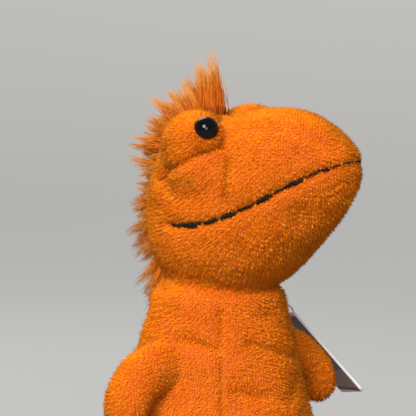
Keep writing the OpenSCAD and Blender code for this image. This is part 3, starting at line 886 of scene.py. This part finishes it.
def mane(name, node, cover, locks, seed):
    """Locks of hair rooted on a cover under a mane's fin."""
    rng = np.random.default_rng(seed)
    fin = tree_of(nodes[node])
    roots, outward = mane_roots(name, node, cover, fin, locks, seed + 1)
    points, faces, slots = [], [], []
    ring = np.array([[math.cos(t), math.sin(t)] for t in THIRDS])
    for root, out in zip(roots, outward):
        back = np.array(-HEAD_FRONT if name == "head_mane_hair" else Vector((0, 1, 0)))
        steep = np.clip(1 - out[2], 0, 1)
        low_down = float(np.clip((NAPE - root[2]) / 0.02, 0, 1))
        forward = float((root - np.array(AXIS)) @ np.array(HEAD_FRONT)) / MM
        in_front = float(np.clip((forward + 9) / 6.5, 0, 1))
        hang = float(np.clip((HANG - root[2]) / 0.018, 0, 1)) if node == "head_mane" else 0
        droop = (0.35 + 0.65 * low_down + 0.9 * hang) * steep
        way = out - droop * np.array(UP) - 0.26 * in_front * back + rng.normal(scale=0.08, size=3)
        way /= np.linalg.norm(way)
        hit = fin.ray_cast(Vector(root + way * BEYOND_FIN), Vector(-way))
        full = BEYOND_FIN - hit[3] if hit[0] else 10 * MM
        full = float(np.clip(full, 12 * MM, 42 * MM))
        if node == "head_mane" and root[2] > CROWN:
            full = (23 + 10 * in_front ** 3) * MM
        full = max(full, 30 * MM * hang)
        full *= 0.90 - 0.18 * steep + 0.12 * in_front + 0.50 * low_down * (1 - 0.6 * hang)
        full *= rng.uniform(0.80, 1.04)
        bend = ((0.16 + 0.16 * in_front) * back + rng.normal(scale=0.10, size=3)) * full
        side = np.cross(way, rng.normal(size=3))
        side /= np.linalg.norm(side)
        other = np.cross(way, side)
        for _ in range(HAIRS):
            start = rng.normal(scale=LOCK_SPREAD, size=2)
            stray = rng.normal(scale=0.05 * full, size=2)
            size = full * rng.uniform(0.68, 1.0)
            first = len(points) * 3
            light = rng.random()
            r = HAIR_RADIUS * rng.uniform(0.8, 1.3)
            for step in range(HAIR_STEPS):
                t = step / (HAIR_STEPS - 1)
                draw = start * (1 - 0.85 * t ** 1.2) + stray * t ** 2
                spot = (root - out * 1.0 * MM + way * size * t + bend * t ** 2
                        + side * draw[0] + other * draw[1])
                thin = r * (1 - 0.85 * t)
                points.append(spot + (ring[:, :1] * side + ring[:, 1:] * other) * thin)
            for step in range(HAIR_STEPS - 1):
                a, b = first + 3 * step, first + 3 * step + 3
                for k in range(3):
                    n = (k + 1) % 3
                    faces += [(a + k, a + n, b + n), (a + k, b + n, b + k)]
                # Painted shade: each hair is deepest at its root, inside the lock, and paler towards
                # its tip
                tone = (0, 1, 1 + (light > 0.5), 2 + (light > 0.35))[step]
                slots += [tone] * 6
            last = first + 3 * (HAIR_STEPS - 1)
            faces += [(first + 2, first + 1, first), (last, last + 1, last + 2)]
            slots += [0, 3]
    piece = mesh_piece(name, np.concatenate(points), np.array(faces), np.array(slots),
                       mane_materials)
    print(name, len(roots), "locks", len(faces), "triangles")
    return piece


head_mane = mane("head_mane_hair", "head_mane", head, 190, 31)
neck_mane = mane("neck_mane_hair", "neck_mane", torso, 26, 41)
back_mane = mane("back_mane_hair", "back_mane", torso, 110, 51)

# %% [markdown]
# ## Thread
# The mouth is sewn in thick black thread along the seam between face and jaw, in long uneven
# stitches that sink into the plush at their ends. Thread is two plies twisted together, so each
# stitch is a pair of tubes that wind round each other.
# %% Twisted stitches
def thread_finish(name, colour, light):
    """Satin thread: fine fibre lines, and now and then a paler fibre."""
    finish = Finish(name, colour, 0.5, Specular_IOR_Level=0.15)
    fibres = finish.between(finish.noise(0.25 * MM, 4.0), 0.4, 0.7)
    finish.set("Base Color", finish.mix(fibres, colour, light))
    finish.set("Roughness", 0.42 + fibres * 0.25)
    return finish.bump(fibres, 0.05 * MM)


black_thread = thread_finish("black_thread", (0.003, 0.003, 0.003), (0.010, 0.009, 0.009))
orange_thread = thread_finish("orange_thread", (0.62, 0.11, 0.006), (0.80, 0.22, 0.03))
PLY_SIDES = 7
PLY_PITCH = 2.6 * MM        # length of one turn of the twist


def twisted(points, outward, thick):
    """Two plies round a line of points: ring points and faces, thin at both ends."""
    verts, faces = [], []
    run = np.concatenate([[0], np.cumsum(np.linalg.norm(np.diff(points, axis=0), axis=1))])
    ahead = unit(np.gradient(points, axis=0))
    across = unit(np.cross(ahead, outward))
    up = np.cross(across, ahead)
    for ply in range(2):
        first = len(verts)
        for i, spot in enumerate(points):
            share = run[i] / run[-1]
            full = math.sin(math.pi * min(1, max(0, 0.06 + 0.88 * share))) ** 0.5
            turn = 2 * math.pi * run[i] / PLY_PITCH + math.pi * ply
            middle = spot + (across[i] * math.cos(turn) + up[i] * math.sin(turn)) * thick * 0.24
            for k in range(PLY_SIDES):
                bit = 2 * math.pi * k / PLY_SIDES
                verts.append(middle + (across[i] * math.cos(bit) + up[i] * math.sin(bit))
                             * thick * 0.30 * full)
        for i in range(len(points) - 1):
            for k in range(PLY_SIDES):
                n = (k + 1) % PLY_SIDES
                a, b = first + i * PLY_SIDES, first + (i + 1) * PLY_SIDES
                faces += [(a + k, b + k, b + n), (a + k, b + n, a + n)]
        for k in range(1, PLY_SIDES - 1):
            faces.append((first, first + k, first + k + 1))
            last = first + (len(points) - 1) * PLY_SIDES
            faces.append((last, last + k + 1, last + k))
    return verts, faces


def stitches(name, rows, material):
    """One piece from many stitches: each is a line of points, its outward ways, its thickness."""
    verts, faces = [], []
    for points, outward, thick in rows:
        more_verts, more_faces = twisted(points, outward, thick)
        faces += [tuple(k + len(verts) for k in face) for face in more_faces]
        verts += more_verts
    faces = np.array(faces)
    return mesh_piece(name, np.array(verts), faces, np.zeros(len(faces)), [material])


def surface_way(tree, points):
    return np.array([tree.find_nearest(Vector(p))[1] for p in points])


# Stitches of one side: start and length along the seam in millimetres, and thickness
MOUTH_STITCHES = [(1, 9, 1.7), (8.5, 12, 3.3), (21, 9, 2.4), (30.5, 9, 3.0), (40, 9.5, 1.8),
                  (50, 9, 2.9), (59, 8, 1.4), (66, 9.5, 2.7), (76, 7.5, 1.2), (83, 7, 1.5),
                  (90, 7, 1.0), (97.5, 7, 1.0), (105, 7, 1.0)]
mouth_rows = []
for side, line in mouth_lines.items():
    run = np.concatenate([[0], np.cumsum(np.linalg.norm(np.diff(line, axis=0), axis=1))]) / MM
    for begin, length, thick in MOUTH_STITCHES:
        at = np.linspace(begin, begin + length, 12)
        at = at[at < run[-1] - 0.5]
        if len(at) < 4:
            continue
        points = np.stack([np.interp(at, run, line[:, k]) for k in range(3)], axis=1)
        points = onto(head_tree, points)
        outward = surface_way(head_tree, points)
        arch = np.sin(np.linspace(0, math.pi, len(points))) ** 0.6
        points = points + outward * (0.2 * MM + 1.7 * MM * arch)[:, None]
        mouth_rows.append((points, outward, thick * MM))
mouth = stitches("mouth_stitches", mouth_rows, black_thread)

# Ladder stitches that close the gap in the left belly seam
closing_rows = []
gap_line = belly_seams[1]
low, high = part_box("closing_stitches")
gap_line = gap_line[(gap_line[:, 2] > low.z) & (gap_line[:, 2] < high.z)]
for spot in gap_line[::max(1, len(gap_line) // 9)]:
    spot = onto(torso_tree, [spot])[0]
    out = surface_way(torso_tree, [spot])[0]
    across = np.cross(out, np.array(UP))
    points = spot + np.linspace(-2.2, 2.2, 8)[:, None] * MM * (across + 0.25 * np.array(UP))
    points = onto(torso_tree, points) + out * (1.4 * MM * np.sin(np.linspace(0.2, 2.9, 8)))[:, None]
    closing_rows.append((points, np.tile(out, (8, 1)), 0.9 * MM))
closing = stitches("seam_stitches", closing_rows, orange_thread)
print(len(mouth_rows), "mouth stitches,", len(closing_rows), "closing stitches")

# %% [markdown]
# ## Soles
# Each foot stands on a flat pad of shorter, deeper plush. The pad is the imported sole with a
# rounded edge: its sharp rim is bevelled, and the bottom stays flat where it rests.
# %% Soles
def sole_finish():
    finish = Finish("sole_plush", (0.60, 0.130, 0.004), 0.95, Specular_IOR_Level=0.04)
    tufts = finish.between(finish.cells(1.1 * MM), 0.1, 0.8)
    worn = finish.between(finish.noise(9 * MM), 0.4, 0.7)
    ground = finish.mix(worn, (0.62, 0.135, 0.004), (0.54, 0.115, 0.006))
    # Painted shade: darker between the tufts, where the bump is low
    finish.set("Base Color", finish.mix(tufts * 0.5, ground, (0.38, 0.068, 0.002)))
    return finish.bump(1 - tufts, 0.5 * MM)


sole_material = sole_finish()


def sole(side):
    """A padded sole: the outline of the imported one, with round edges."""
    pad = merged_copy(f"sole_pad_{side}", f"foot_sole_{side}")
    add_modifier(pad, "BEVEL", width=1.0 * MM, segments=3, limit_method="ANGLE")
    pad.data.materials.append(sole_material)
    select_only(pad)
    bpy.ops.object.shade_smooth_by_angle(angle=math.radians(40))
    return pad


soles = {side: sole(side) for side in ("left", "right")}

# %% [markdown]
# ## Swing tag
# The tag is a folded card: two thin leaves that meet at a fold. It starts as the imported card, a
# thin slab is cut out of its middle plane up to the fold. Its print is plain, a band and an oval
# spot on a ground painted dark as shade, worked out from the distances along and across the card.
# %% Swing tag
card_points = np.array([v.co for v in nodes["hang_tag"].data.vertices])
card_middle = card_points.mean(0)
card_ways = np.linalg.svd(card_points - card_middle, full_matrices=False)[2]
CARD_ALONG = card_ways[0] * (-1 if card_ways[0][2] > 0 else 1)
CARD_ACROSS = card_ways[1] * (-1 if card_ways[1][1] < 0 else 1)
CARD_OUT = np.cross(CARD_ALONG, CARD_ACROSS)
card_length, card_width, card_thick = (float(np.ptp(card_points @ way)) for way in
                                       (CARD_ALONG, CARD_ACROSS, CARD_OUT))
card_low = [float((card_points @ way).min()) for way in (CARD_ALONG, CARD_ACROSS, CARD_OUT)]


def card_finish():
    """Coated card: white edges, and a face painted dark as shade, with a printed paler band and an
    oval spot.
    """
    finish = Finish("printed_card", (0.80, 0.79, 0.77), 0.5, Specular_IOR_Level=0.2)
    far = finish.along(CARD_ALONG) - card_low[0]
    wide = finish.along(CARD_ACROSS) - card_low[1]
    deep = finish.along(CARD_OUT) - card_low[2]
    inside = (far > 2.2 * MM) * (far < card_length - 2.2 * MM)
    inside = inside * (wide > 2.0 * MM) * (wide < card_width - 2.0 * MM)
    face = ((deep < 0.12 * MM) + (deep > card_thick - 0.12 * MM)) * inside
    grain = finish.noise(1.2 * MM, 5.0)
    # Painted shade: the faces' dark ground, with grain
    ground = finish.mix(grain, (0.040, 0.023, 0.016), (0.075, 0.046, 0.034))
    band = (far > card_length * 0.70) * (far < card_length * 0.92)
    print_on_painted_shade = finish.mix(band, ground, (0.24, 0.15, 0.14))
    oval = (far - card_length * 0.48) * (far - card_length * 0.48)
    oval = oval + (wide - card_width * 0.5) * (wide - card_width * 0.5) * 2.2
    print_on_painted_shade = finish.mix(oval < (7.5 * MM) ** 2, print_on_painted_shade, (0.34, 0.060, 0.045))
    edge = finish.mix(grain, (0.78, 0.76, 0.74), (0.66, 0.63, 0.61))
    finish.set("Base Color", finish.mix(face, edge, print_on_painted_shade))
    finish.set("Roughness", 0.65 - face * 0.15 + grain * 0.08)
    return finish.bump(grain, 0.03 * MM)


def card():
    """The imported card, cut into two leaves that still hold together at the fold."""
    piece = merged_copy("folded_card", "hang_tag")
    bpy.ops.mesh.primitive_cube_add(size=1)
    slot = bpy.context.object
    frame_of_card = Matrix((CARD_ALONG, CARD_ACROSS, CARD_OUT)).transposed().to_4x4()
    middle = (CARD_ALONG * (card_low[0] + card_length / 2)
              + CARD_ACROSS * (card_low[1] + card_width / 2 + 1.2 * MM)
              + CARD_OUT * (card_low[2] + card_thick / 2))
    frame_of_card.translation = Vector(middle)
    size = Matrix.Diagonal((card_length + 4 * MM, card_width, 0.35 * MM, 1))
    slot.data.transform(frame_of_card @ size)
    cut = piece.modifiers.new("Leaves", "BOOLEAN")
    cut.operation = "DIFFERENCE"
    cut.object = slot
    cut.solver = "EXACT"
    select_only(piece)
    bpy.ops.object.modifier_apply(modifier="Leaves")
    bpy.data.objects.remove(slot)
    piece.data.materials.append(card_finish())
    return piece


tag_card = card()
print("card", [round(size / MM, 1) for size in (card_length, card_width, card_thick)], "mm")

# %% [markdown]
# ## Small hard pieces
# The safety eyes are moulded and polished, the lock washers are plain moulded plastic, the loop of
# the tag is nylon, and the pellet bag is woven cotton. Their shapes are right as they come, so
# they only get a finish.
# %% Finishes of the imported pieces
def eye_finish():
    finish = Finish("eye_plastic", (0.003, 0.003, 0.004), 0.08, Specular_IOR_Level=0.22)
    scuffs = finish.between(finish.noise(0.8 * MM, 6.0), 0.55, 0.75)
    finish.set("Base Color", finish.mix(scuffs * 0.3, (0.0015, 0.0015, 0.002), (0.005, 0.005, 0.005)))
    finish.set("Roughness", 0.07 + scuffs * 0.10)
    return finish.material


def washer_finish():
    finish = Finish("washer_plastic", (0.75, 0.75, 0.72), 0.45)
    flow = finish.noise(2.5 * MM)
    finish.set("Base Color", finish.mix(flow, (0.70, 0.70, 0.67), (0.80, 0.80, 0.78)))
    return finish.bump(finish.noise(0.5 * MM), 0.04 * MM)


def nylon_finish():
    finish = Finish("nylon", (0.72, 0.70, 0.68), 0.3, Transmission_Weight=0.45, IOR=1.5)
    flow = finish.noise(1.5 * MM)
    finish.set("Base Color", finish.mix(flow, (0.66, 0.64, 0.62), (0.82, 0.80, 0.78)))
    finish.set("Roughness", 0.22 + flow * 0.2)
    return finish.material


def bag_finish():
    finish = Finish("bean_cloth", (0.62, 0.52, 0.38), 0.9)
    weave = finish.bands(3.2 * MM, "X") * finish.bands(3.2 * MM, "Z")
    finish.set("Base Color", finish.mix(weave, (0.46, 0.37, 0.25), (0.70, 0.60, 0.45)))
    return finish.bump(weave, 0.2 * MM)


def satin_finish():
    finish = Finish("label_satin", (0.85, 0.84, 0.82), 0.4, Sheen_Weight=0.4, Sheen_Roughness=0.3)
    ribs = finish.bands(1.6 * MM, "Z")
    finish.set("Base Color", finish.mix(ribs, (0.78, 0.77, 0.75), (0.88, 0.87, 0.86)))
    finish.set("Roughness", 0.34 + ribs * 0.15)
    return finish.bump(ribs, 0.05 * MM)


for node, finish in (("eye_left", eye_finish()), ("eye_right", None),
                     ("eye_washer_left", washer_finish()), ("eye_washer_right", None),
                     ("tag_fastener", nylon_finish()), ("bean_bag", bag_finish())):
    material = finish or material
    nodes[node].data.materials.clear()
    nodes[node].data.materials.append(material)

# %% [markdown]
# ## Care label
# A blank satin ribbon, folded in two and caught in the seam beside the tail. It is a strip of
# cloth, bent round at its outer end, with a slight wave.
# %% Care label
LABEL_WIDTH = 16 * MM
LABEL_REACH = 17 * MM       # how far the fold stands off the cloth
LABEL_SAG = 8 * MM
LABEL_STEPS = 20


def care_label():
    """The folded ribbon as a mesh, and its length before it was folded."""
    low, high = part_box("care_label")
    centre = low.lerp(high, 0.5)
    hit = torso_tree.find_nearest(centre)
    out = Vector((hit[1].x, hit[1].y, 0)).normalized()
    side = out.cross(UP).normalized()
    foot = hit[0] - out * 2 * MM
    path = []
    for i in range(LABEL_STEPS + 1):
        t = i / LABEL_STEPS
        open_by = math.cos(math.pi * t) * 0.9 * MM
        away = LABEL_REACH * (1 - abs(2 * t - 1) ** 1.6)
        sag = LABEL_SAG * (1 - abs(2 * t - 1)) ** 1.5
        path.append(foot + out * away + UP * (open_by - sag))
    bpy.ops.mesh.primitive_grid_add(x_subdivisions=LABEL_STEPS, y_subdivisions=8, size=1)
    label = bpy.context.object
    label.name = "satin_label"
    for vertex in label.data.vertices:
        t = vertex.co.x + 0.5
        spot = path[min(LABEL_STEPS, max(0, round(t * LABEL_STEPS)))]
        wave = 0.5 * MM * math.sin(5 * vertex.co.y + 9 * t)
        vertex.co = spot + side * vertex.co.y * LABEL_WIDTH + UP * wave
    add_modifier(label, "SOLIDIFY", thickness=0.15 * MM, offset=0)
    add_modifier(label, "SUBSURF", levels=1, render_levels=1)
    label.data.materials.append(satin_finish())
    select_only(label)
    bpy.ops.object.shade_smooth()
    length = sum((b - a).length for a, b in zip(path, path[1:]))
    return label, length


label, label_length = care_label()
print("label ribbon", round(label_length / MM, 1), "mm long before folding")

# %% [markdown]
# ## Putting it together
# Each piece rides on the body that it is sewn to, except the torso's cover and pile, which reach
# up the neck: their place is baked into their points. Forms and trims also hide the imported
# nodes that they stand for; the piles only lie on a form.
# %% Bodies, and the imported nodes they hide
stands_for = {
    "head": ["head_side_left", "head_side_right", "head_crown", "jaw_panel", "head_filling"],
    "torso": ["torso_side_left", "torso_side_right", "belly_panel", "torso_filling", "neck_skin",
              "neck_filling"],
    "tail": ["tail_skin", "tail_filling"],
}
for limb in ("arm_left", "arm_right", "leg_left", "leg_right"):
    kind, side = limb.split("_")
    stands_for[limb] = [f"{kind}_skin_{side}", f"{kind}_filling_{side}"]


def attach(piece, body):
    """Rides a piece on its body, or, if it is the torso's, bakes its place into its points."""
    if body == "torso":
        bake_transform(piece)
    else:
        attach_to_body(piece, body)


for body, cover in covers.items():
    cover.data.materials.clear()
    cover.data.materials.append(backing)
    attach(cover, body)
    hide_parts(*stands_for[body])
for pile, body in piles.values():
    attach(pile, body)
for piece, body, slot, node in (
        (head_mane, "head", "mane_pile", "head_mane"),
        (neck_mane, "neck", "mane_pile", "neck_mane"),
        (mouth, "head", "black_thread", "mouth_stitching"),
        (soles["left"], "leg_left", "sole_plush", "foot_sole_left"),
        (soles["right"], "leg_right", "sole_plush", "foot_sole_right"),
        (tag_card, "tag", "card", "hang_tag")):
    attach(piece, body)
    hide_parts(node)
for piece, slot, node in ((back_mane, "mane_pile", "back_mane"),
                          (closing, "orange_thread", "closing_stitches"),
                          (label, "label_satin", "care_label")):
    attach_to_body(piece, "torso")
    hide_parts(node)

# %% [markdown]
# ## Floor and light
# The floor is one pale paper sweep that rises softly far out on all sides, so no edge shows. The
# main light is a sun lamp with a wide angle, from the upper left, because a lamp close by would
# light the near floor more than the far one. A weak area light stands in front, and one behind
# lifts the edges. The floor throws no light back, so the toy's underside stays dark.
# %% Floor and lights
FLOOR_FLAT = 1.4
FLOOR_EDGE = 5.5
FLOOR_RISE = 1.3


def floor_sweep():
    bpy.ops.mesh.primitive_circle_add(vertices=96, radius=FLOOR_EDGE, fill_type="TRIFAN")
    floor = bpy.context.object
    floor.name = "floor"
    bpy.ops.object.mode_set(mode="EDIT")
    bpy.ops.mesh.select_all(action="SELECT")
    bpy.ops.mesh.subdivide(number_cuts=40)
    bpy.ops.object.mode_set(mode="OBJECT")
    for vertex in floor.data.vertices:
        away = Vector((vertex.co.x, vertex.co.y)).length
        share = max(0, (away - FLOOR_FLAT) / (FLOOR_EDGE - FLOOR_FLAT))
        vertex.co.z = FLOOR_RISE * share ** 2
    select_only(floor)
    bpy.ops.object.shade_smooth()
    finish = Finish("floor_paper", (0.46, 0.46, 0.455), 0.9, Specular_IOR_Level=0.1)
    fibre = finish.noise(4 * MM, 2.0)
    finish.set("Base Color", finish.mix(fibre, (0.45, 0.45, 0.445), (0.47, 0.47, 0.465)))
    floor.data.materials.append(finish.material)
    floor.visible_diffuse = False       # it throws no light back on the toy


def studio_world():
    world = bpy.data.worlds.new("studio")
    scene.world = world
    world.use_nodes = True
    world.node_tree.nodes["Background"].inputs[0].default_value = (0.92, 0.96, 1.0, 1)
    world.node_tree.nodes["Background"].inputs[1].default_value = 0.30


def lamp(kind, name, offset, power, colour, **settings):
    """A light that stands off from the chest and looks at it."""
    chest = AXIS + UP * 0.22
    bpy.ops.object.light_add(type=kind, location=chest + Vector(offset))
    light = bpy.context.object
    light.name = name
    light.data.energy = power
    light.data.color = colour
    for setting, value in settings.items():
        setattr(light.data, setting, value)
    light.rotation_mode = "QUATERNION"
    light.rotation_quaternion = (-Vector(offset)).to_track_quat("-Z", "Y")


floor_sweep()
studio_world()
lamp("SUN", "key", (-1.25, -0.65, 0.85), 3.55, (1.0, 0.97, 0.93), angle=math.radians(26))
lamp("AREA", "fill", (-0.9, -1.1, 0.35), 6, (1.0, 0.98, 0.95), size=0.5)
lamp("AREA", "rim", (0.4, 1.0, 1.1), 8, (1.0, 1.0, 1.0), size=0.8)
